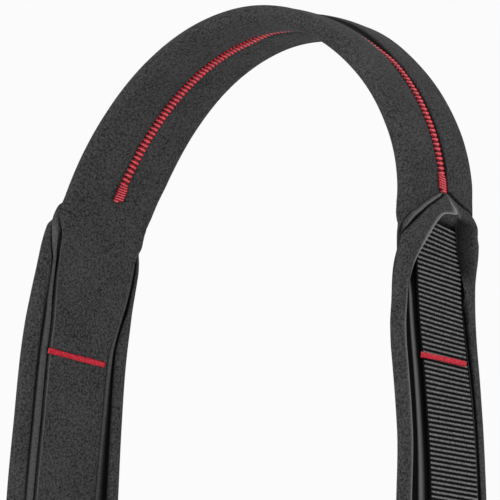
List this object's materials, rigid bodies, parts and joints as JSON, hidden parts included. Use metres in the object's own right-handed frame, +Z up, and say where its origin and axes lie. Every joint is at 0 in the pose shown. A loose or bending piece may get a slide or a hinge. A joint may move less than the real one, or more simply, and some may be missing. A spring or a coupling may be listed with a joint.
{
  "type": "camera neck strap",
  "caption": "Padded camera neck strap in its worn arch: a folded neoprene neck pad with a seam down its middle, and on each arm a rolled neoprene wing that holds a ribbed webbing.",
  "frame": {"origin": "middle of the inner face at the crown of the arch, where the strap rests on the neck", "axes": "+X across the neck towards the strap's right arm, +Y towards the wearer's back, +Z up"},
  "size_m": [0.24, 0.0632, 0.2193],
  "materials": {
    "neoprene": "matte, knit-faced neoprene foam",
    "webbing": "satin, ribbed woven nylon"
  },
  "bodies": {
    "root": {"neck_pad": "neoprene", "left_wing": "neoprene", "right_wing": "neoprene", "left_webbing": "webbing", "right_webbing": "webbing"}
  },
  "joints": []
}
